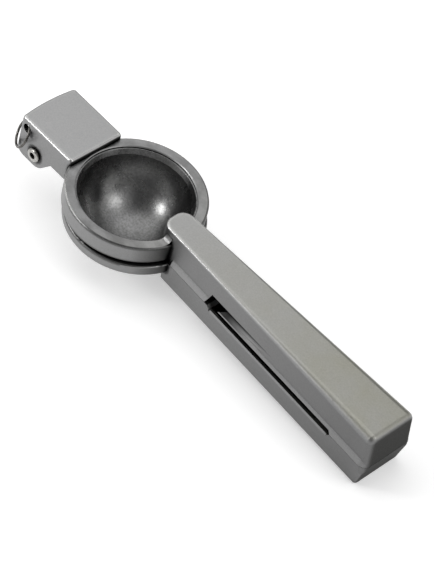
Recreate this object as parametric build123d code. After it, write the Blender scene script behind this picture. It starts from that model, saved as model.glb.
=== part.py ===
from build123d import *
from math import acos, asin, atan2, cos, degrees, hypot, pi, sin, sqrt, tan
import os

# A lever citrus squeezer, closed: two cast levers on one rivet, a press cup in the upper ring,
# a strainer bowl in the lower ring and a wire ring to hang it by. All sizes are in millimetres.
# The levers are drawn with the rim of the press ring at z = 0, its centre at x = 0 and the
# handles along +X. At the end everything is tilted to stand on the bowl and the handle's end.

# Rings
mouth_radius = 27.0
ring_wall = 5.0
bowl_ring_offset = 1.7
press_ring_height = 9.7
ring_gap = 0.9
bowl_ring_height = 7.0
ring_edge_radius = 0.9
mouth_edge = 0.4
bowl_ring_lower_radius = 3.2

# Press cup and strainer bowl
lip_depth = 0.9
lip_overlap = 2.6
cup_rim_step = 0.6
cup_flare = 1.2
cup_draw = 2.3
cup_edge_radius = 0.4
cup_wall = 1.6
cup_flange = 1.8
squeeze_gap = 1.4
bowl_wall = 1.6
bowl_flange = 1.6
bowl_flange_cover = 1.1
insert_fit = 0.05
drain_diameter = 3.2
drain_angles = (15, 30, 45)
drains_per_step = 6

# Handles, measured from the outside of the press ring
nose_reach = 4.7
nose_corner = 5.3
nose_bed = 2.3
nose_cove = 3.5
handle_root = 2.0
handle_length = 130.0
handle_top = 7.0
lower_handle_depth = 14.65
nose_half_width = 6.7
end_half_width = 13.3
side_draft = 0.4
end_lean = 1.8
end_undercut = 3.0
top_edge_at_nose = 1.0
top_edge_at_end = 3.8
end_round = 3.0
part_gap = 0.15
handle_bed = 2.6
flare_step = 1.1
flare_height = 3.1
underside_inset = 1.6
underside_round = 2.2
underside_skim = 0.05
heel_round = 1.8
upper_wall = 3.4
upper_roof = 4.0
lower_wall = 1.2
lower_floor = 2.5

# Slot between the handles: a window at its front, then a gap under a recess that fades to the rear.
# Rise and depth are how far the gap is cut into the upper and the lower handle.
slot_setback = 28.5
slot_end_land = 22.0
slot_rise = 1.4
slot_depth = 1.75
slot_slope = 1.4
bevel_run = 0.7
bevel_drop = 1.9
window_lead = 3.3
window_rake = 2.4
window_length = 12.0
window_height = 6.4
window_lean = 8.0
recess_depth = 2.4
recess_middle = 20.4
recess_middle_depth = 1.3
recess_length = 42.0
recess_lip = 1.9

# Hinge fork, tongue and rivet
block_setback = 0.3
block_reach = 28.0
rear_crown = 1.2
block_half_width = 15.2
block_top = 3.1
block_corner = 1.6
block_edge = 1.3
fork_wall = 2.4
fork_plate = 2.5
fork_boss = 2.7
fork_boss_radius = 6.0
fork_web = 2.5
knee_reach = 10.4
pin_inset = 11.5
pin_drop = 2.1
lobe_radius = 6.75
tongue_side_gap = 0.3
tongue_bed = 2.1
knuckle_radius = 5.6
pin_diameter = 5.0
pin_bore = 3.2
pin_head_diameter = 6.8
pin_head_height = 1.6
pin_head_roll = 0.7
pin_press_fit = 0.02
pin_running_fit = 0.05

# Hanging ring in the near wall of the fork
eye_inset = 4.2
eye_drop = 4.8
hang_wire = 1.2
hang_slack = 1.0
hang_back = 2.2
hang_out = 0.9
hang_drop = 5.4
hang_turn = 51.5
hang_lean = 20.7

# Rings and inserts that follow from the sizes above
ring_outer_radius = mouth_radius + ring_wall
seat_radius = mouth_radius + lip_overlap
cup_mouth = mouth_radius - cup_rim_step
cup_radius = cup_mouth - cup_flare
cup_outer_radius = cup_radius + cup_wall
cup_centre = -lip_depth - cup_draw
bowl_radius = cup_outer_radius + squeeze_gap
bowl_outer_radius = bowl_radius + bowl_wall
bowl_flange_radius = ring_outer_radius - bowl_ring_offset - bowl_flange_cover
bowl_ring_top = -press_ring_height - ring_gap
bowl_ring_bottom = bowl_ring_top - bowl_ring_height
bowl_ledge = bowl_ring_top - bowl_flange

# Handles and slot that follow
nose_front = mouth_radius - nose_reach
handle_start = ring_outer_radius + handle_root
handle_end = ring_outer_radius + handle_length
handle_parting = -press_ring_height
bowl_handle_start = ring_outer_radius - handle_bed
bowl_handle_top = handle_parting - part_gap
handle_bottom = bowl_handle_top - lower_handle_depth
handle_heel = handle_end - end_undercut
foot_corner = end_round + flare_step
slot_start = ring_outer_radius + slot_setback
slot_end = handle_end - slot_end_land
window_tip = slot_start - window_lead
window_front = window_tip + window_rake
window_rear = window_front + window_length
window_crown = handle_parting + window_height

# Hinge and hanging ring that follow
block_front = -mouth_radius - block_setback
block_rear = -ring_outer_radius - block_reach
fork_slot_front = -ring_outer_radius - fork_web
fork_half_gap = block_half_width - fork_wall
tongue_half_width = fork_half_gap - fork_boss - tongue_side_gap
tongue_root = tongue_bed - ring_outer_radius
pin_x = block_rear + pin_inset
fork_knee = pin_x + knee_reach
pin_z = handle_parting - pin_drop
eye_x = block_rear + eye_inset
eye_z = block_top - eye_drop
eye_diameter = fork_wall + 2 * hang_wire
hang_ring_radius = eye_inset + hang_wire + hang_slack
through_fork = 4 * block_half_width


def half_width(x):
    """Half the width of the handle's top at a distance x from the ring's centre."""
    taper = (end_half_width - nose_half_width) / (handle_end - nose_front)
    return nose_half_width + taper * (x - nose_front)


def across(x):
    """A drawing plane square to the handle, with its own X along Y and its own Y up."""
    return Plane(origin=(x, 0, 0), x_dir=(0, 1, 0), z_dir=(1, 0, 0))


def sphere_radius_at(radius, z):
    """Radius at height z of a sphere round the cup's centre."""
    return sqrt(radius**2 - (z - cup_centre) ** 2)


def sphere_arc(radius, z):
    """Arc of that sphere's profile from height z down to its lowest point."""
    start = asin((z - cup_centre) / radius)
    middle = (start - pi / 2) / 2
    return ThreePointArc(
        (radius * cos(start), z),
        (radius * cos(middle), cup_centre + radius * sin(middle)),
        (0, cup_centre - radius),
    )


def turned(face):
    """The solid that a face drawn by radius and height sweeps round the Z axis."""
    return revolve(Plane.XZ * face, Axis.Z)


def ring_blank(bottom, top, lower_radius):
    """A solid disc with rounded rims, from which a ring is bored."""
    outer = ring_outer_radius
    face = make_face(Polyline((0, bottom), (outer, bottom), (outer, top), (0, top), close=True))
    rim = face.vertices().group_by(Axis.X)[-1].sort_by(Axis.Y)
    face = fillet(rim[0], lower_radius)
    rim = face.vertices().group_by(Axis.Y)[-1].sort_by(Axis.X)
    return turned(fillet(rim[-1], ring_edge_radius))


def side_block(*outline):
    """A block with the given side view, wide enough to cut right through a handle."""
    face = make_face(Polyline(*outline, close=True))
    return extrude(Plane.XZ * face, amount=2 * end_half_width, both=True)


def hollow(start, end, wall, bottom, top):
    """A tapering pocket that leaves an even wall along both sides of a handle."""
    narrow = half_width(start) - wall
    wide = half_width(end) - wall
    plan = Polyline((start, -narrow), (end, -wide), (end, wide), (start, narrow), close=True)
    return Pos(0, 0, bottom) * extrude(make_face(plan), amount=top - bottom)


def upper_section(x, edge):
    """Cross section of the upper handle, with its two top corners rounded."""
    top = half_width(x)
    foot = top + side_draft
    corners = [(-foot, handle_parting), (foot, handle_parting), (top, handle_top), (-top, handle_top)]
    face = make_face(Polyline(*corners, close=True))
    if edge:
        face = fillet(face.vertices().group_by(Axis.Y)[-1], edge)
    return across(x) * face


def lower_section(x):
    """Cross section of the lower handle: sides drawn in to a rounded underside."""
    side = half_width(x) + side_draft + flare_step
    foot = side - underside_inset
    bottom = handle_bottom - underside_skim
    corners = [(side, bowl_handle_top), (foot, bottom), (-foot, bottom), (-side, bowl_handle_top)]
    face = make_face(Polyline(*corners, close=True))
    face = fillet(face.vertices().group_by(Axis.Y)[0], underside_round)
    return across(x) * face


def nose():
    """The upper handle's rounded nose, which reaches over the rim into the mouth."""
    nose_root = handle_start + nose_bed
    body = loft([upper_section(nose_front, 0), upper_section(nose_root, 0)], ruled=True)
    front = body.faces().sort_by(Axis.X)[0]
    uprights = front.edges().group_by(Axis.Y)
    body = fillet([uprights[0][0], uprights[-1][0]], nose_corner)
    crest = body.faces().sort_by(Axis.Z)[-1]
    rim = [edge for edge in crest.edges() if edge.center().X < nose_root - nose_bed / 2]
    return fillet(rim, top_edge_at_nose)


def cove_section(x):
    """Section of the concave fillet between the nose's side and the flat top of the press ring."""
    flank = half_width(x) + side_draft * handle_top / (handle_top - handle_parting)
    bed = flank - nose_cove
    toe = flank + nose_cove
    bend = nose_cove * (1 - cos(pi / 4))
    foot = Polyline((flank, nose_cove), (bed, nose_cove), (bed, -nose_cove), (toe, -nose_cove), (toe, 0))
    curve = ThreePointArc((toe, 0), (flank + bend, bend), (flank, nose_cove))
    return across(x) * make_face([foot, curve])


def coves():
    """The fillets on both sides of the nose, kept between the mouth and the ring's rounded rim."""
    cove = loft([cove_section(mouth_radius - nose_reach / 2), cove_section(ring_outer_radius)], ruled=True)
    height = 4 * nose_cove
    bore = Cylinder(mouth_radius + mouth_edge, height)
    rim = Cylinder(ring_outer_radius - ring_edge_radius, height) - bore
    cove = cove & (Pos(0, 0, -nose_cove) * rim)
    return cove + mirror(cove, Plane.XZ)


def side_rail(side, *stations):
    """A bar along one side of a handle, from outlines given by steps out from the flank and heights."""
    sections = []
    for x, outline in stations:
        flank = half_width(x) + side_draft
        face = make_face(Polyline(*[(side * (flank + step), z) for step, z in outline], close=True))
        sections.append(across(x) * face)
    return loft(sections, ruled=True)


def leaning_end():
    """What the lean of the upper handle's end takes off."""
    return side_block(
        (handle_end, handle_parting),
        (handle_end, handle_top),
        (handle_end - end_lean, handle_top),
    )


def foot_plan(start, z, step, corner):
    """Outline of the handle's foot at a height, with its two end corners rounded."""
    end = handle_end - end_lean * (z - handle_parting) / (handle_top - handle_parting)
    narrow = half_width(start) + step
    wide = half_width(end) + step
    corners = [(start, -narrow), (end, -wide), (end, wide), (start, narrow)]
    face = make_face(Polyline(*corners, close=True))
    return Pos(0, 0, z) * fillet(face.vertices().group_by(Axis.X)[-1], corner)


def flare():
    """The foot of the upper handle, which slopes out to the width of the lower one and ends with it."""
    crest_step = side_draft * (1 - flare_height / (handle_top - handle_parting))
    foot = foot_plan(handle_start, handle_parting, side_draft + flare_step, foot_corner)
    crest = foot_plan(handle_start, handle_parting + flare_height, crest_step, top_edge_at_end)
    return loft([foot, crest], ruled=True)


def recess(side):
    """A wedge cut into one side of the upper handle, with a level roof and a floor that slopes out."""
    lip = handle_parting + recess_lip
    lip_step = flare_step * (1 - recess_lip / flare_height)
    mouth = [(lip_step, lip), (flare_step, lip), (flare_step, window_crown)]
    stations = []
    for run, depth in ((0, recess_depth), (recess_middle, recess_middle_depth), (recess_length, 0)):
        stations.append((window_front + run, [(-depth, window_crown), *mouth]))
    return side_rail(side, *stations)


def bevel(side, top):
    """The wedge that takes the edge off the lower handle along the slot."""
    outline = [
        (flare_step - bevel_run, top),
        (flare_step, top - bevel_drop),
        (2 * flare_step, top - bevel_drop),
        (2 * flare_step, top),
    ]
    return side_rail(side, (slot_start, outline), (slot_end - slot_slope, outline))


def upper_handle():
    """The upper handle: nose, top edges that soften to the rear, leaning end, flared foot and window."""
    sections = [upper_section(handle_start, top_edge_at_nose), upper_section(handle_end, top_edge_at_end)]
    handle = loft(sections, ruled=True) - leaning_end()
    rim = handle.faces().sort_by(Axis.X)[-1].edges().sort_by(Axis.Z)[1:]
    handle = fillet(rim, end_round) + nose() + flare()
    handle = handle - hollow(window_front, slot_end, upper_wall, handle_parting, handle_top - upper_roof)
    for side in (-1, 1):
        handle = handle - recess(side)
    handle = handle - side_block(
        (window_tip, handle_parting),
        (window_front, window_crown),
        (window_rear, window_crown),
        (window_rear - window_lean, handle_parting),
    )
    return handle - side_block(
        (window_front, handle_parting),
        (window_front, handle_parting + slot_rise),
        (slot_end - slot_slope, handle_parting + slot_rise),
        (slot_end, handle_parting),
    )


def lower_handle():
    """The lower handle: a channel between two lands, with its end drawn in under the upper one."""
    handle = loft([lower_section(bowl_handle_start), lower_section(handle_end)], ruled=True)
    handle = handle - side_block(
        (bowl_handle_start, handle_bottom),
        (handle_end, handle_bottom),
        (handle_end, handle_bottom - underside_skim),
        (bowl_handle_start, handle_bottom - underside_skim),
    )
    handle = handle - side_block(
        (handle_end, bowl_handle_top),
        (handle_end, handle_bottom),
        (handle_heel, handle_bottom),
    )
    end = handle.faces().sort_by(Axis.X)[-1]
    heel = [edge for edge in end.edges() if edge.center().Z < bowl_handle_top - heel_round]
    handle = fillet(heel, heel_round)
    plan = foot_plan(bowl_handle_start, handle_parting, side_draft + flare_step, foot_corner)
    handle = handle & extrude(plan, amount=handle_bottom - handle_parting)
    floor = bowl_handle_top - slot_depth
    handle = handle - side_block(
        (slot_start - slot_slope, bowl_handle_top),
        (slot_start, floor),
        (slot_end - slot_slope, floor),
        (slot_end, bowl_handle_top),
    )
    for side in (-1, 1):
        handle = handle - bevel(side, floor)
    channel_end = slot_end - slot_slope
    return handle - hollow(slot_start, channel_end, lower_wall, handle_bottom + lower_floor, floor)


def fork_outline():
    """Side view of the hinge block: a plate with a lobe round the rivet, drawn in to the ring."""
    rear = block_rear - rear_crown
    lowest = pin_z - lobe_radius
    reach = hypot(fork_knee - pin_x, handle_parting - pin_z)
    rise = atan2(handle_parting - pin_z, fork_knee - pin_x)
    touch = rise - acos(lobe_radius / reach)
    middle = (touch - pi / 2) / 2
    tangent = (pin_x + lobe_radius * cos(touch), pin_z + lobe_radius * sin(touch))
    bottom = ThreePointArc(
        (pin_x, lowest),
        (pin_x + lobe_radius * cos(middle), pin_z + lobe_radius * sin(middle)),
        tangent,
    )
    heel = ThreePointArc(
        (rear, pin_z),
        (rear + lobe_radius * (1 - cos(pi / 4)), pin_z - lobe_radius * sin(pi / 4)),
        (rear + lobe_radius, lowest),
    )
    upper = Polyline(
        tangent,
        (fork_knee, handle_parting),
        (block_front, handle_parting),
        (block_front, block_top),
        (rear, block_top),
        (rear, pin_z),
    )
    return make_face([heel, Line((rear + lobe_radius, lowest), (pin_x, lowest)), bottom, upper])


def fork_block():
    """The hinge block with its crowned rear and rounded edges, before the fork's slot is cut."""
    body = extrude(Plane.XZ * fork_outline(), amount=block_half_width, both=True)
    plan = make_face(
        [
            Polyline(
                (block_rear, -block_half_width),
                (block_front, -block_half_width),
                (block_front, block_half_width),
                (block_rear, block_half_width),
            ),
            ThreePointArc(
                (block_rear, block_half_width),
                (block_rear - rear_crown, 0),
                (block_rear, -block_half_width),
            ),
        ]
    )
    plan = fillet(plan.vertices(), block_corner)
    tall = block_top - pin_z + 2 * lobe_radius
    body = body & (Pos(0, 0, block_top - tall) * extrude(plan, amount=tall))
    return fillet(body.faces().sort_by(Axis.Z)[-1].edges(), block_edge)


def cross_bore(x, z, diameter, length, y=0.0):
    """A round bar along Y, used to drill the pin and ring holes."""
    return Pos(x, y, z) * Rot(X=90) * Cylinder(diameter / 2, length)


def press_lever():
    """Upper casting: hinge fork, press ring with its lip, and handle."""
    ring = ring_blank(-press_ring_height, 0, ring_edge_radius)
    body = fork_block() + ring
    body = body - Pos(0, 0, -press_ring_height / 2) * Cylinder(mouth_radius, press_ring_height)
    body = body - Pos(0, 0, -mouth_edge / 2) * Cone(mouth_radius, mouth_radius + mouth_edge, mouth_edge)
    body = body + upper_handle() + coves()
    seat_height = press_ring_height - lip_depth
    body = body - Pos(0, 0, -lip_depth - seat_height / 2) * Cylinder(seat_radius, seat_height)
    slot_length = fork_slot_front - block_rear + 2 * rear_crown
    slot_height = block_top - fork_plate - pin_z + 2 * lobe_radius
    slot = Box(slot_length, 2 * fork_half_gap, slot_height, align=(Align.MAX, Align.CENTER, Align.MAX))
    body = body - Pos(fork_slot_front, 0, block_top - fork_plate) * slot
    for side in (-1, 1):
        boss_middle = side * (fork_half_gap - fork_boss / 2)
        body = body + cross_bore(pin_x, pin_z, 2 * fork_boss_radius, fork_boss, boss_middle)
    body = body - cross_bore(pin_x, pin_z, pin_diameter + 2 * pin_press_fit, through_fork)
    return body - cross_bore(eye_x, eye_z, eye_diameter, 2 * fork_wall, -block_half_width)


def press_cup():
    """Domed cup, open above, whose flange seats under the lip of the press ring."""
    rim = seat_radius - insert_fit
    under = -lip_depth - cup_flange
    flange = Polyline(
        (cup_radius, cup_centre),
        (cup_mouth, -lip_depth),
        (rim, -lip_depth),
        (rim, under),
        (sphere_radius_at(cup_outer_radius, under), under),
    )
    axis = Line((0, cup_centre - cup_outer_radius), (0, cup_centre - cup_radius))
    inner = sphere_arc(cup_radius, cup_centre)
    face = make_face([inner, flange, sphere_arc(cup_outer_radius, under), axis])
    lip = face.vertices().sort_by_distance((cup_mouth, -lip_depth))[0]
    return turned(fillet(lip, cup_edge_radius))


def bowl_lever():
    """Lower casting: hinge tongue, bowl ring with its ledge, and handle."""
    ring = ring_blank(bowl_ring_bottom, bowl_ring_top, bowl_ring_lower_radius)
    ring = Pos(bowl_ring_offset, 0, 0) * ring
    tongue_length = tongue_root - pin_x
    corner = (Align.MIN, Align.CENTER, Align.MAX)
    tongue = Box(tongue_length, 2 * tongue_half_width, bowl_ring_height, align=corner)
    body = ring + Pos(pin_x, 0, bowl_ring_top) * tongue
    body = body + cross_bore(pin_x, pin_z, 2 * knuckle_radius, 2 * tongue_half_width)
    body = body + lower_handle()
    throat = sphere_radius_at(bowl_outer_radius, bowl_ledge) + insert_fit
    deep = bowl_ring_height - bowl_flange
    body = body - Pos(0, 0, bowl_ledge - deep / 2) * Cylinder(throat, deep)
    well = bowl_flange + ring_gap
    body = body - Pos(0, 0, bowl_ledge + well / 2) * Cylinder(bowl_flange_radius + insert_fit, well)
    return body - cross_bore(pin_x, pin_z, pin_diameter + 2 * pin_running_fit, through_fork)


def strainer_bowl():
    """Round bowl with rings of drain holes, hung by its flange on the bowl ring's ledge."""
    flange = Polyline(
        (sphere_radius_at(bowl_radius, bowl_ring_top), bowl_ring_top),
        (bowl_flange_radius, bowl_ring_top),
        (bowl_flange_radius, bowl_ledge),
        (sphere_radius_at(bowl_outer_radius, bowl_ledge), bowl_ledge),
    )
    axis = Line((0, cup_centre - bowl_outer_radius), (0, cup_centre - bowl_radius))
    inner = sphere_arc(bowl_radius, bowl_ring_top)
    bowl = turned(make_face([inner, flange, sphere_arc(bowl_outer_radius, bowl_ledge), axis]))
    drill_length = 4 * bowl_wall
    drill = Pos(0, 0, -bowl_radius) * Cylinder(drain_diameter / 2, drill_length)
    drills = [Pos(0, 0, cup_centre) * drill]
    for step, angle in enumerate(drain_angles, start=1):
        count = step * drains_per_step
        for index in range(count):
            drills.append(Pos(0, 0, cup_centre) * Rot(Z=index * 360 / count) * Rot(Y=angle) * drill)
    return bowl - drills


def hinge_pin():
    """Tubular rivet through fork and tongue, with a rolled head outside each wall."""
    shank = cross_bore(pin_x, pin_z, pin_diameter, 2 * block_half_width)
    for side in (-1, 1):
        head = cross_bore(pin_x, pin_z, pin_head_diameter, pin_head_height)
        head = Pos(0, side * (block_half_width + pin_head_height / 2), 0) * head
        shank = shank + fillet(head.edges().filter_by(GeomType.CIRCLE), pin_head_roll)
    return shank - cross_bore(pin_x, pin_z, pin_bore, through_fork)


def hang_ring():
    """Wire ring that passes through the eye and round the fork's rear edge, hanging outside the wall."""
    wall_middle = fork_wall / 2 - block_half_width
    centre = Pos(eye_x - hang_back, wall_middle - hang_out, eye_z - hang_drop)
    return centre * Rot(Z=hang_turn) * Rot(Y=90 + hang_lean) * Torus(hang_ring_radius, hang_wire / 2)


def standing(solids):
    """Tilts the solids onto the bowl and the lower handle's heel, centres them and sets them on z = 0."""
    heel_angle = pi - atan2(bowl_handle_top - handle_bottom, end_undercut)
    run = handle_heel - heel_round / tan(heel_angle / 2)
    drop = cup_centre - (handle_bottom + heel_round)
    tilt = asin((bowl_outer_radius - heel_round) / hypot(run, drop)) - atan2(drop, run)
    tilted = {name: Rot(Y=degrees(tilt)) * solid for name, solid in solids.items()}
    box = Compound(list(tilted.values())).bounding_box()
    place = Pos(-box.center().X, 0, -box.min.Z)
    return {name: place * solid for name, solid in tilted.items()}


nodes = {
    "press_lever": press_lever(),
    "press_cup": press_cup(),
    "bowl_lever": bowl_lever(),
    "strainer_bowl": strainer_bowl(),
    "hinge_pin": hinge_pin(),
    "hang_ring": hang_ring(),
}
os.makedirs("parts", exist_ok=True)
for name, solid in standing(nodes).items():
    export_step(solid, f"parts/{name}.step")
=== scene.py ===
# %% [markdown]
# # A cast aluminium citrus squeezer
#
# The real tool is two castings on one hinge. The upper casting carries a ring, a long handle and
# the fork of the hinge. The lower one carries the other ring and handle, and the tongue that turns
# in the fork. A dark pressed cup hangs in the upper ring and a strainer bowl in the lower one. The
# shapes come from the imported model, so this lesson is about light and finish.

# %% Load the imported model
import math
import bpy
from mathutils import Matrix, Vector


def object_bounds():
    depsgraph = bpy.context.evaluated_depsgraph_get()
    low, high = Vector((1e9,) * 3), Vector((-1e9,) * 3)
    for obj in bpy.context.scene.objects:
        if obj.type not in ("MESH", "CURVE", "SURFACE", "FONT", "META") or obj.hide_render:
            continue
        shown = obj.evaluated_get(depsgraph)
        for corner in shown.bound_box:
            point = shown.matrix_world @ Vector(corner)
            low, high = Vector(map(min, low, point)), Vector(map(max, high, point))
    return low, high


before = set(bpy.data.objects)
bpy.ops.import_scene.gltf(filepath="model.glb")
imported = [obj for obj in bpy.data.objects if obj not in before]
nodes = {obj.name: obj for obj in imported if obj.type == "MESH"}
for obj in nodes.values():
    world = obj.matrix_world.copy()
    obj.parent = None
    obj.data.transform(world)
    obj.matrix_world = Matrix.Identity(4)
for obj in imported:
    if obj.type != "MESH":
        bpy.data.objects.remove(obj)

from types import SimpleNamespace

import bpy
from mathutils import Quaternion, Vector

cad_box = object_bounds()
bpy.ops.object.select_all(action="DESELECT")
print("pieces:", ", ".join(sorted(nodes)))
print("box in metres:", [tuple(round(v, 4) for v in corner) for corner in cad_box])

# %% [markdown]
# ## Helpers
#
# Colours are picked as screen colours, and a shader works in linear light, so one function turns
# a hex value into linear numbers. Another adds one node: a value is set on its socket, and a socket
# or another node is linked to it. A third turns the real size of a pattern into a texture's scale.
# Every finish below is written with these three.

# %% Colour, node and scale helpers
MM = 0.001
# Most values of a noise texture lie between these two.
NOISE_LOW = 0.3
NOISE_HIGH = 0.7


def colour(hex_value):
    """A screen colour such as 'a0a0a0' as linear red, green, blue and alpha."""
    parts = [int(hex_value[i:i + 2], 16) / 255 for i in (0, 2, 4)]
    return [c / 12.92 if c <= 0.04045 else ((c + 0.055) / 1.055) ** 2.4 for c in parts] + [1.0]


def add_node(tree, kind, inputs=None, **settings):
    """Add a node, set its settings, and fill each input with a value, a socket or a node's output."""
    made = tree.nodes.new("ShaderNode" + kind)
    for name, value in settings.items():
        setattr(made, name, value)
    for name, value in (inputs or {}).items():
        if isinstance(value, bpy.types.Node):
            value = next(socket for socket in value.outputs if socket.enabled)
        if isinstance(value, bpy.types.NodeSocket):
            tree.links.new(value, made.inputs[name])
        else:
            made.inputs[name].default_value = value
    return made


def per_size(millimetres):
    """The texture scale whose pattern repeats about once in this many millimetres."""
    return 1 / (millimetres * MM)


print("a pattern of 16 mm has scale", per_size(16))

# %% [markdown]
# ## The camera
#
# The picture was taken from above the near right side with a long lens, which keeps the handle's
# long edges almost parallel. The camera is slightly rolled. It is placed by what it aims at, its
# heading, how far it looks down and how far off it is, so each number says what it does.

# %% Camera at the photograph's viewing angle
AIM = Vector((6.36, -0.2, 20.0)) * MM
HEADING = math.radians(37.464)
LOOK_DOWN = math.radians(47.172)
ROLL = math.radians(12.885)
DISTANCE = 1287.5 * MM
SENSOR = 36.0
LENS = 186.2

forward = Vector((-math.sin(HEADING) * math.cos(LOOK_DOWN),
                  math.cos(HEADING) * math.cos(LOOK_DOWN),
                  -math.sin(LOOK_DOWN)))
camera_data = bpy.data.cameras.new("camera")
camera_data.lens = LENS
camera_data.sensor_width = SENSOR
camera = bpy.data.objects.new("camera", camera_data)
bpy.context.scene.collection.objects.link(camera)
camera.location = AIM - forward * DISTANCE
camera.rotation_mode = "QUATERNION"
camera.rotation_quaternion = forward.to_track_quat("-Z", "Y") @ Quaternion((0, 0, 1), ROLL)
bpy.context.scene.camera = camera
print("camera at", [round(v, 3) for v in camera.location])

# %% [markdown]
# ## The floor
#
# The squeezer lies on white paper. Paper that is only lit turns grey where the light falls off, so
# this paper also glows a little where it is looked at, straight on or in a reflection. The soft
# shadow still shows on it.

# %% Floor
FLOOR_SIZE = 12.0
FLOOR_LIFT = 0.38
floor_height = cad_box[0][2]
bpy.ops.mesh.primitive_plane_add(size=FLOOR_SIZE, location=(0, 0, floor_height))
floor = bpy.context.object
floor.name = "floor"
floor_paper = bpy.data.materials.new("matt_white_paper")
floor_paper.use_nodes = True
tree = floor_paper.node_tree
paper = tree.nodes["Principled BSDF"]
paper.inputs["Base Color"].default_value = colour("f0f0f0")
paper.inputs["Roughness"].default_value = 0.95
paper.inputs["Specular IOR Level"].default_value = 0.1
paper.inputs["Emission Color"].default_value = colour("ffffff")
path = add_node(tree, "LightPath").outputs
seen = add_node(tree, "Math", {0: path["Is Camera Ray"], 1: path["Is Glossy Ray"]}, operation="MAXIMUM")
lift = add_node(tree, "Math", {0: seen, 1: FLOOR_LIFT}, operation="MULTIPLY")
tree.links.new(lift.outputs[0], paper.inputs["Emission Strength"])
floor.data.materials.append(floor_paper)
print("floor at height", round(floor_height, 5))

# %% [markdown]
# ## The light
#
# Satin metal shows what is around it, so the room matters more than the lamps. The room is a sky
# that is bright to the right and behind, with a lighter wall at the left, a paler horizon and a dim
# side where the camera stands. Three softboxes stand in it. A very broad one overhead lights the
# top faces and lets the rounded edges fade. A small strong one at the near left draws the bright
# lines on the edges and one highlight in the cup. A dimmer one at the right gives the cup its other
# highlight.

# %% Sky of the studio
SKY_BRIGHT = 0.8
SKY_DIM = 0.14
SKY_HORIZON = 0.5
SKY_LEFT = 0.85
TOWARDS_BRIGHT = (0.75, 0.5, 0.43)
BRIGHT_START = 0.3
BRIGHT_FULL = 1.0
TOWARDS_LEFT = (-0.75, -0.62, 0.2)
LEFT_START = 0.6
LEFT_FULL = 0.9
HAZE_TOP = 0.5
world = bpy.data.worlds.new("studio")
bpy.context.scene.world = world
world.use_nodes = True
sky = world.node_tree
sky.nodes.clear()
direction = add_node(sky, "TexCoord").outputs["Generated"]
rightward = add_node(sky, "VectorMath", {0: direction, 1: TOWARDS_BRIGHT}, operation="DOT_PRODUCT")
level = add_node(sky, "MapRange", {"Value": rightward, "From Min": BRIGHT_START, "From Max": BRIGHT_FULL,
                                   "To Min": SKY_DIM, "To Max": SKY_BRIGHT},
                 interpolation_type="SMOOTHSTEP")
height = add_node(sky, "SeparateXYZ", {0: direction}).outputs["Z"]
haze = add_node(sky, "MapRange", {"Value": height, "From Min": 0.0, "From Max": HAZE_TOP,
                                  "To Min": SKY_HORIZON, "To Max": 0.0}, interpolation_type="SMOOTHSTEP")
leftward = add_node(sky, "VectorMath", {0: direction, 1: TOWARDS_LEFT}, operation="DOT_PRODUCT")
wall = add_node(sky, "MapRange", {"Value": leftward, "From Min": LEFT_START, "From Max": LEFT_FULL,
                                  "To Min": 0.0, "To Max": SKY_LEFT}, interpolation_type="SMOOTHSTEP")
low = add_node(sky, "Math", {0: haze, 1: wall}, operation="MAXIMUM")
total = add_node(sky, "Math", {0: level, 1: low}, operation="ADD")
glow = add_node(sky, "Background", {"Color": colour("ffffff"), "Strength": total})
add_node(sky, "OutputWorld", {"Surface": glow})
print("sky from", SKY_DIM, "to", SKY_BRIGHT)

# %% Softboxes
RING_MIDDLE = (-0.05, 0.0, 0.03)
HANDLE_MIDDLE = (0.03, 0.0, 0.03)


def add_softbox(name, over, towards, distance, width, brightness):
    """A round soft lamp: what it is aimed at, which way it stands from there, and how bright it is."""
    data = bpy.data.lights.new(name, "AREA")
    data.shape = "DISK"
    data.size = width
    # A flat lamp of one watt and one square metre looks 1 / pi bright, so this sets its face's level.
    data.energy = brightness * math.pi * math.pi * width ** 2 / 4
    lamp = bpy.data.objects.new(name, data)
    bpy.context.scene.collection.objects.link(lamp)
    lamp.location = Vector(over) + Vector(towards).normalized() * distance
    lamp.rotation_mode = "QUATERNION"
    lamp.rotation_quaternion = (-Vector(towards)).to_track_quat("-Z", "Y")
    print(name, "power", round(data.energy, 2))


add_softbox("overhead_softbox", HANDLE_MIDDLE, towards=(-0.42, 0.20, 0.88),
            distance=1.6, width=2.0, brightness=1.25)
add_softbox("edge_softbox", RING_MIDDLE, towards=(-0.52, -0.70, 0.47),
            distance=0.6, width=0.2, brightness=10.4)
add_softbox("right_softbox", RING_MIDDLE, towards=(0.68, 0.16, 0.71),
            distance=0.9, width=0.34, brightness=2.4)
bpy.context.scene.view_settings.view_transform = "Standard"

# %% [markdown]
# ## How a finish starts
#
# Every finish below is drawn by nodes from a point's place on the piece. Painted images would need
# the pieces unwrapped. Object coordinates need nothing, are in metres like the model, and stay on
# the metal when a lever swings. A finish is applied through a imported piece's own material slots, so
# its mesh is left alone.

# %% Start a finish and apply it


def start_finish(name):
    """A new material with an empty tree, and a point's place on the object."""
    made = bpy.data.materials.new(name)
    made.use_nodes = True
    tree = made.node_tree
    tree.nodes.clear()
    spot = add_node(tree, "TexCoord").outputs
    along = add_node(tree, "SeparateXYZ", {0: spot["Object"]}).outputs
    return SimpleNamespace(material=made, tree=tree, spot=spot, place=spot["Object"], along=along)


def finish_piece(name, material):
    """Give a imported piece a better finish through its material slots."""
    for slot in nodes[name].material_slots:
        slot.material = material
    print(name, "is now", material.name)


print("slots to fill:", sum(len(node.material_slots) for node in nodes.values()))

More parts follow.
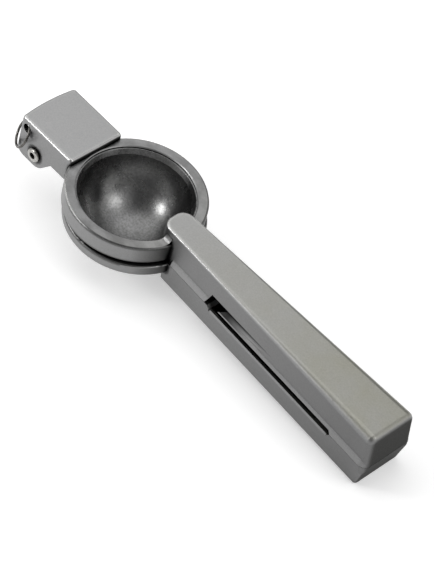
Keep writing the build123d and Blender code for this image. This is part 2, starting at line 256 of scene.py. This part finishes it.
# %% [markdown]
# ## Cast aluminium, tumbled
#
# The levers are die castings, tumbled with stones until they are an even satin grey. Faces are
# painted brighter the more they lie open to the top, a painted light from above. The faces that
# stand square to the handle are painted dark, a painted shade. Along the grip the sides are painted
# darker, a painted shade, and the top is a little warmer in slow blotches, where hands hold it. Most
# of that follows the way a face points, so the ground colour is mixed by the normal: its Z is 1 on a
# level face and 0 on an upright one.

# %% Ground colour of the castings
BLOTCH_SIZE = 16
GRIP_FRONT = -50 * MM
GRIP_REAR = 100 * MM


def tumbled_ground(at, shades):
    """Painted light on tops, painted shade on rear sides and on faces square to the handle, warmer rear tops.
    """
    tree = at.tree
    at.facing = add_node(tree, "SeparateXYZ", {0: at.spot["Normal"]}).outputs
    blotch = add_node(tree, "TexNoise", {"Vector": at.place, "Scale": per_size(BLOTCH_SIZE), "Detail": 3.0})
    patchy = add_node(tree, "MapRange", {"Value": blotch, "From Min": NOISE_LOW, "From Max": NOISE_HIGH,
                                         "To Min": 0.5, "To Max": 1.0})
    # Towards the rear the sides are painted darker, a painted shade, and the tops turn warmer.
    held = add_node(tree, "MapRange", {"Value": at.along["X"], "From Min": GRIP_FRONT,
                                       "From Max": GRIP_REAR})
    # Faces open to the top are painted lighter than upright ones: painted light from above.
    upper = add_node(tree, "MapRange", {"Value": at.facing["Z"], "From Min": 0.12, "From Max": 0.8})
    at.flat_top = add_node(tree, "MapRange", {"Value": at.facing["Z"], "From Min": 0.5, "From Max": 0.9})
    # Faces square to the handle are painted dark grey: a painted shade.
    at.square = add_node(tree, "MapRange", {"Value": at.facing["X"], "From Min": 0.7, "From Max": 0.97})
    palm = add_node(tree, "Math", {0: held, 1: at.flat_top}, operation="MULTIPLY")
    tint = add_node(tree, "Math", {0: palm, 1: patchy}, operation="MULTIPLY")
    flank = add_node(tree, "Mix", {0: held, 6: colour(shades.side), 7: colour(shades.grip)},
                     data_type="RGBA")
    table = add_node(tree, "Mix", {0: tint, 6: colour(shades.crown), 7: colour(shades.warm)},
                     data_type="RGBA")
    body = add_node(tree, "Mix", {0: upper, 6: flank, 7: table}, data_type="RGBA")
    return add_node(tree, "Mix", {0: at.square, 6: body, 7: colour(shades.skin)}, data_type="RGBA")


print("blotches of", BLOTCH_SIZE, "mm")

# %% [markdown]
# ## The dressed rims
#
# The rims of the rings are dressed flat after casting and stay a little darker, with patches. In
# the photograph the near side is darker still. The rings are round, so a point belongs to them by
# its distance from their axis and its height, and no second material is needed.

# %% Rims of the rings
RING_CENTRE = (-48.5 * MM, 0, 0)
RIM_REACH = 31.2 * MM
RING_REACH = 32.6 * MM
RIM_TOP = 35.2 * MM
RIM_DARKEST = 0.6
RIM_LIGHTEST = 0.84
NEAR_START = -14 * MM
NEAR_FULL = -25 * MM
NEAR_STAIN = 0.86


def rim_tone(at):
    """What the colour is multiplied with: under 1 on top of the rims, and 1 elsewhere."""
    tree = at.tree
    off_centre = add_node(tree, "VectorMath", {0: at.place, 1: RING_CENTRE}, operation="SUBTRACT")
    level = add_node(tree, "VectorMath", {0: off_centre, 1: (1, 1, 0)}, operation="MULTIPLY")
    reach = add_node(tree, "VectorMath", {0: level}, operation="LENGTH")
    below = add_node(tree, "Math", {0: at.along["Z"], 1: RIM_TOP}, operation="LESS_THAN")
    within = add_node(tree, "Math", {0: reach, 1: RIM_REACH}, operation="LESS_THAN")
    at.rim = add_node(tree, "Math", {0: within, 1: below}, operation="MULTIPLY")
    around = add_node(tree, "Math", {0: reach, 1: RING_REACH}, operation="LESS_THAN")
    at.ring = add_node(tree, "Math", {0: around, 1: below}, operation="MULTIPLY")
    shade = add_node(tree, "MapRange", {"Value": at.dents, "From Min": 0.35, "From Max": 0.65,
                                        "To Min": RIM_DARKEST, "To Max": RIM_LIGHTEST})
    # The rim top is darker towards the near side.
    near = add_node(tree, "MapRange", {"Value": at.along["Y"], "From Min": NEAR_START,
                                       "From Max": NEAR_FULL, "To Min": 1.0, "To Max": NEAR_STAIN})
    stained = add_node(tree, "Math", {0: shade, 1: near}, operation="MULTIPLY")
    rim_top = add_node(tree, "Math", {0: at.ring, 1: at.flat_top}, operation="MULTIPLY")
    return add_node(tree, "Mix", {0: rim_top, 2: 1.0, 3: stained}, data_type="FLOAT")


print("rims reach", RIM_REACH, "m from the axis, rings", RING_REACH, "m")

# %% [markdown]
# ## Rubbed edges with a painted highlight
#
# Edges stand proud, so tumbling and use rub them smooth. Their bright colour is partly that wear and
# partly a painted highlight. Ambient occlusion measured inside the metal is low just there, so it
# finds every edge without any being marked by hand. It shows on top and fades along the grip. The
# rings get it on the hinge side only, and towards the handle their outer edges get a painted dark
# line, a painted shade, instead.

# %% Rubbed edges with a painted highlight, and a painted dark line
EDGE_DEPTH = 1.6 * MM
RUB_END = 85 * MM
RUB_FULL = 35 * MM
SHELTER_START = -66 * MM
SHELTER_FULL = -46 * MM
LINE_FULL = -58 * MM


def rub_edges(at, ground, shades):
    """The ground colour with bright edges, partly wear and partly painted highlight, and a painted dark line.
    Keeps where the edges are bright, for the gloss.
    """
    tree = at.tree
    inner = add_node(tree, "AmbientOcclusion", {"Distance": EDGE_DEPTH}, inside=True, samples=8).outputs["AO"]
    corner = add_node(tree, "MapRange", {"Value": inner, "From Min": 0.9, "From Max": 0.72})
    ahead = add_node(tree, "MapRange", {"Value": at.along["X"], "From Min": RUB_END, "From Max": RUB_FULL})
    # On the rings towards the handle no bright edge is drawn.
    sheltered = add_node(tree, "MapRange", {"Value": at.along["X"], "From Min": SHELTER_START,
                                            "From Max": SHELTER_FULL})
    cover = add_node(tree, "Math", {0: at.ring, 1: sheltered}, operation="MULTIPLY")
    shut = add_node(tree, "Math", {0: at.rim, 1: cover}, operation="MAXIMUM")
    open_edge = add_node(tree, "Math", {0: ahead, 1: shut}, operation="SUBTRACT", use_clamp=True)
    above = add_node(tree, "MapRange", {"Value": at.facing["Z"], "From Min": 0.5, "From Max": 0.7})
    reached = add_node(tree, "Math", {0: open_edge, 1: above}, operation="MULTIPLY")
    # Bright colour on these edges is partly wear and partly a painted highlight.
    at.rub = add_node(tree, "Math", {0: corner, 1: reached}, operation="MULTIPLY")
    # A painted dark line on the rings' outer edges towards the handle: painted shade.
    rounded = add_node(tree, "MapRange", {"Value": inner, "From Min": 0.98, "From Max": 0.84})
    outer = add_node(tree, "Math", {0: at.ring, 1: at.rim}, operation="SUBTRACT", use_clamp=True)
    onward = add_node(tree, "MapRange", {"Value": at.along["X"], "From Min": SHELTER_START,
                                         "From Max": LINE_FULL})
    ring_edge = add_node(tree, "Math", {0: rounded, 1: outer}, operation="MULTIPLY")
    line = add_node(tree, "Math", {0: ring_edge, 1: onward}, operation="MULTIPLY")
    lined = add_node(tree, "Mix", {0: line, 6: ground, 7: colour(shades.skin)}, data_type="RGBA")
    return add_node(tree, "Mix", {0: at.rub, 6: lined, 7: colour(shades.rubbed)}, data_type="RGBA")


print("edges are found within", EDGE_DEPTH, "m")

# %% [markdown]
# ## Painted shade in creases
#
# Slots and creases are painted dark, a painted shade, and so is a thin line under every ledge of the
# upright faces. Ordinary ambient occlusion is low in both, so one wide and one narrow measure of it
# are multiplied together.

# %% Painted shade in creases and under ledges
CREASE_WIDTH = 6 * MM
CREASE_DARKEST = 0.03
LEDGE_WIDTH = 2 * MM
LEDGE_DARKEST = 0.12


def crease_grime(at):
    """What the colour is multiplied with: near 0 in the deepest painted shade, and 1 elsewhere."""
    tree = at.tree
    # Wide creases and slots are painted dark: painted shade.
    crease = add_node(tree, "AmbientOcclusion", {"Distance": CREASE_WIDTH}, samples=8).outputs["AO"]
    grime = add_node(tree, "MapRange", {"Value": crease, "From Min": 0.15, "From Max": 0.75,
                                        "To Min": CREASE_DARKEST, "To Max": 1.0})
    # A thin painted shade under the ledges of upright faces.
    ledge = add_node(tree, "AmbientOcclusion", {"Distance": LEDGE_WIDTH}, samples=8).outputs["AO"]
    trace = add_node(tree, "MapRange", {"Value": ledge, "From Min": 0.86, "From Max": 0.98,
                                        "To Min": LEDGE_DARKEST, "To Max": 1.0})
    upright = add_node(tree, "MapRange", {"Value": at.facing["Z"], "From Min": 0.6, "From Max": 0.45})
    residue = add_node(tree, "Mix", {0: upright, 2: 1.0, 3: trace}, data_type="FLOAT")
    return add_node(tree, "Math", {0: grime, 1: residue}, operation="MULTIPLY")


print("grime is sought within", CREASE_WIDTH, "m in creases and", LEDGE_WIDTH, "m under ledges")

# %% [markdown]
# ## Painted shade in the recess
#
# Over the slot between the handles, a window opens into a recess that fades to the rear. It is too
# shallow and open for ambient occlusion to find, so it gets a painted shade, the darker the deeper it
# lies behind the handle's side. The side is straight and tapers, so a point's depth behind it is
# simple to work out. The painted shade is darkest at the window and fades out towards the rear. The
# insides of the hollow handles are shaded by depth the same way. Heights are along the ring's own
# axis, because the lever lies tilted.

# %% Painted shade in the recess over the slot
RING_UP = (0.0541, 0.0, 0.9985)
HANDLE_FRONT = -26.2 * MM
HANDLE_END = 113.2 * MM
FRONT_HALF_WIDTH = 7.0 * MM
END_HALF_WIDTH = 13.6 * MM
RECESS_FLOOR = 20.7 * MM
RECESS_TOP = 27.0 * MM
RECESS_FRONT = 11 * MM
RECESS_END = 79 * MM
RECESS_LIP = -0.5 * MM
HOLLOW_END = 80 * MM
FILL_START = 0.1 * MM
FILL_FULL = 1.1 * MM
FILL_DARKEST = 0.2
THICK_END = 22 * MM
THIN_START = 36 * MM
THICKEST = 0.12


def recess_grime(at):
    """What the colour is multiplied with: painted shade in the recess and the hollow handles, and 1
    elsewhere.
    """
    tree = at.tree
    side = add_node(tree, "MapRange", {"Value": at.along["X"], "From Min": HANDLE_FRONT,
                                       "From Max": HANDLE_END, "To Min": FRONT_HALF_WIDTH,
                                       "To Max": END_HALF_WIDTH})
    aside = add_node(tree, "Math", {0: at.along["Y"]}, operation="ABSOLUTE")
    depth = add_node(tree, "Math", {0: side, 1: aside}, operation="SUBTRACT")
    # Painted shade, the darker the deeper a point lies behind the side.
    filled = add_node(tree, "MapRange", {"Value": depth, "From Min": FILL_START, "From Max": FILL_FULL,
                                         "To Min": 1.0, "To Max": FILL_DARKEST})
    rise = add_node(tree, "VectorMath", {0: at.place, 1: RING_UP}, operation="DOT_PRODUCT")
    lower = add_node(tree, "Math", {0: rise, 1: RECESS_TOP}, operation="LESS_THAN")
    hollow = add_node(tree, "Math", {0: at.along["X"], 1: HOLLOW_END / 2, 2: HOLLOW_END / 2},
                      operation="COMPARE")
    cased = add_node(tree, "Math", {0: hollow, 1: lower}, operation="MULTIPLY")
    packed = add_node(tree, "Mix", {0: cased, 2: 1.0, 3: filled}, data_type="FLOAT")
    # The painted shade in the recess fades out towards the rear.
    spread = add_node(tree, "MapRange", {"Value": at.along["X"], "From Min": THICK_END,
                                         "From Max": THIN_START, "To Min": THICKEST, "To Max": 1.0})
    between = add_node(tree, "Math", {0: rise, 1: (RECESS_TOP + RECESS_FLOOR) / 2,
                                      2: (RECESS_TOP - RECESS_FLOOR) / 2}, operation="COMPARE")
    beside = add_node(tree, "Math", {0: at.along["X"], 1: (RECESS_END + RECESS_FRONT) / 2,
                                     2: (RECESS_END - RECESS_FRONT) / 2}, operation="COMPARE")
    behind = add_node(tree, "Math", {0: depth, 1: RECESS_LIP}, operation="GREATER_THAN")
    framed = add_node(tree, "Math", {0: between, 1: beside}, operation="MULTIPLY")
    recessed = add_node(tree, "Math", {0: framed, 1: behind}, operation="MULTIPLY")
    thinned = add_node(tree, "Mix", {0: recessed, 2: 1.0, 3: spread}, data_type="FLOAT")
    return add_node(tree, "Math", {0: packed, 1: thinned}, operation="MULTIPLY")


print("grime thins out from", THICK_END, "to", THIN_START, "m along the handle")

# %% [markdown]
# ## The whole casting finish
#
# The parts above are laid over each other: the tumbled ground with its grain and its painted light
# and shade, then the rubbed edges with their painted highlight, then the painted shade of creases
# and recess. Rubbed metal is also smoother. Two faint bumps, slow dents and a fine grain, break up
# the reflections, which is what makes metal look cast. The grain is drawn at 0.7 mm, because the
# real grit is too fine to show.

# %% Satin cast aluminium
GRAIN_SIZE = 0.7
GRAIN_DARK = 0.95
GRAIN_BRIGHT = 1.04
GRAIN_HEIGHT = 0.02 * MM
DENT_SIZE = 6
DENT_HEIGHT = 0.05 * MM
SATIN_ROUGHNESS = 0.4
ROUGHNESS_SPREAD = 0.04
RUBBED_ROUGHNESS = 0.2


def tumbled_aluminium(name, shades):
    """Satin metal with a fine grain, painted light and shade, worn edges with a painted highlight, and
    painted shade in creases.
    """
    at = start_finish(name)
    tree = at.tree
    grain = add_node(tree, "TexNoise", {"Vector": at.place, "Scale": per_size(GRAIN_SIZE), "Detail": 3.0,
                                        "Roughness": 0.6})
    at.dents = add_node(tree, "TexNoise", {"Vector": at.place, "Scale": per_size(DENT_SIZE), "Detail": 2.0})
    ground = tumbled_ground(at, shades)
    speck = add_node(tree, "MapRange", {"Value": grain, "From Min": NOISE_LOW, "From Max": NOISE_HIGH,
                                        "To Min": GRAIN_DARK, "To Max": GRAIN_BRIGHT})
    tone = add_node(tree, "Math", {0: speck, 1: rim_tone(at)}, operation="MULTIPLY")
    grained = add_node(tree, "Mix", {0: 1.0, 6: ground, 7: tone}, data_type="RGBA", blend_type="MULTIPLY")
    worn = rub_edges(at, grained, shades)
    # Painted shade of creases, ledges, the recess and the hollow handles.
    dirt = add_node(tree, "Math", {0: crease_grime(at), 1: recess_grime(at)}, operation="MULTIPLY")
    soiled = add_node(tree, "Mix", {0: 1.0, 6: worn, 7: dirt}, data_type="RGBA", blend_type="MULTIPLY")
    satin = add_node(tree, "MapRange", {"Value": grain, "From Min": NOISE_LOW, "From Max": NOISE_HIGH,
                                        "To Min": SATIN_ROUGHNESS + ROUGHNESS_SPREAD,
                                        "To Max": SATIN_ROUGHNESS - ROUGHNESS_SPREAD})
    smooth = add_node(tree, "Mix", {0: at.rub, 2: satin, 3: RUBBED_ROUGHNESS}, data_type="FLOAT")
    waves = add_node(tree, "Bump", {"Strength": 0.5, "Distance": DENT_HEIGHT, "Height": at.dents})
    bumps = add_node(tree, "Bump", {"Strength": 0.4, "Distance": GRAIN_HEIGHT, "Height": grain,
                                    "Normal": waves})
    # The faces square to the handle also mirror less at a glancing angle: a painted shade on their
    # reflection.
    glance = add_node(tree, "Mix", {0: at.square, 6: colour("ffffff"), 7: colour("b0b0b0")},
                      data_type="RGBA")
    metal = add_node(tree, "BsdfPrincipled", {"Base Color": soiled, "Metallic": 1.0, "Roughness": smooth,
                                              "Normal": bumps, "Specular Tint": glance})
    add_node(tree, "OutputMaterial", {"Surface": metal})
    print("material", name, "with", len(tree.nodes), "nodes")
    return at.material


# Top greys hold painted light, the grip side and darkest greys painted shade, the brightest partly a painted
# highlight.
cast_greys = SimpleNamespace(side="888888", grip="6c6c6c", crown="9d9d9d", warm="959489",
                             rubbed="e2e2e0", skin="4c4c4b")
cast_aluminium = tumbled_aluminium("tumbled_cast_aluminium", cast_greys)
finish_piece("press_lever", cast_aluminium)
finish_piece("bowl_lever", cast_aluminium)

# %% [markdown]
# ## Dark burnished steel
#
# The cup and the bowl are pressed from sheet steel and burnished dark. They are glossier than the
# castings, so they hold two soft highlights and otherwise show the dark of their own hollow.
# Burnishing is patchy: cloudy duller patches show in the photograph, the bottom of the hollow is
# duller, and the flared edge of the cup is darker. The rivet and the wire ring are steel too, only
# brighter or darker, so the same nodes serve them all. The grain is drawn at 0.9 mm so that it
# shows.

# %% Burnished steel
CLOUD_SIZE = 9
STEEL_GRAIN_SIZE = 0.9
STEEL_GRAIN_DARK = 0.75
STEEL_GRAIN_BRIGHT = 1.2
STEEL_GRAIN_HEIGHT = 0.03 * MM
FLARE_START = 26.4 * MM
FLARE_FULL = 27.4 * MM
DULL_START = 11 * MM
DULL_FULL = 5 * MM
DULL_BOTTOM = 0.22


def burnished_steel(name, dark, cloud, shine, dull, edge=1.0):
    """Dark glossy metal with cloudy dull patches, a fine grain and an edge that may be darker."""
    at = start_finish(name)
    tree = at.tree
    clouds = add_node(tree, "TexNoise", {"Vector": at.place, "Scale": per_size(CLOUD_SIZE), "Detail": 4.0,
                                         "Roughness": 0.6})
    grain = add_node(tree, "TexNoise", {"Vector": at.place, "Scale": per_size(STEEL_GRAIN_SIZE),
                                        "Detail": 2.0})
    patch = add_node(tree, "MapRange", {"Value": clouds, "From Min": 0.4, "From Max": 0.7})
    body = add_node(tree, "Mix", {0: patch, 6: colour(dark), 7: colour(cloud)}, data_type="RGBA")
    speck = add_node(tree, "MapRange", {"Value": grain, "From Min": NOISE_LOW, "From Max": NOISE_HIGH,
                                        "To Min": STEEL_GRAIN_DARK, "To Max": STEEL_GRAIN_BRIGHT})
    rise = add_node(tree, "VectorMath", {0: at.place, 1: RING_UP}, operation="DOT_PRODUCT")
    flare = add_node(tree, "MapRange", {"Value": rise, "From Min": FLARE_START, "From Max": FLARE_FULL,
                                        "To Min": 1.0, "To Max": edge})
    tone = add_node(tree, "Math", {0: speck, 1: flare}, operation="MULTIPLY")
    toned = add_node(tree, "Mix", {0: 1.0, 6: body, 7: tone}, data_type="RGBA", blend_type="MULTIPLY")
    polish = add_node(tree, "MapRange", {"Value": clouds, "From Min": 0.35, "From Max": 0.7,
                                         "To Min": shine, "To Max": dull})
    deep = add_node(tree, "MapRange", {"Value": at.along["Z"], "From Min": DULL_START,
                                       "From Max": DULL_FULL, "To Min": 0.0, "To Max": DULL_BOTTOM})
    gloss = add_node(tree, "Math", {0: polish, 1: deep}, operation="ADD")
    bumps = add_node(tree, "Bump", {"Strength": 0.5, "Distance": STEEL_GRAIN_HEIGHT, "Height": grain})
    metal = add_node(tree, "BsdfPrincipled", {"Base Color": toned, "Metallic": 1.0, "Roughness": gloss,
                                              "Normal": bumps})
    add_node(tree, "OutputMaterial", {"Surface": metal})
    print("material", name, "with", len(tree.nodes), "nodes")
    return at.material


# %% Steel pieces
dark_steel = burnished_steel("burnished_dark_steel", "8a8a8a", "949493", shine=0.21, dull=0.33, edge=0.6)
finish_piece("press_cup", dark_steel)
finish_piece("strainer_bowl", dark_steel)
bright_steel = burnished_steel("rolled_rivet_steel", "b4b3b0", "9c9a95", shine=0.22, dull=0.34)
finish_piece("hinge_pin", bright_steel)
wire_steel = burnished_steel("drawn_wire_steel", "6a6865", "4a4846", shine=0.2, dull=0.32)
finish_piece("hang_ring", wire_steel)

# %% [markdown]
# ## The last line
#
# Blender only gives the squeezer its looks, and its size stays that of the imported model.

# %% The last line
print("wrote the box of the packed model and of what shows")
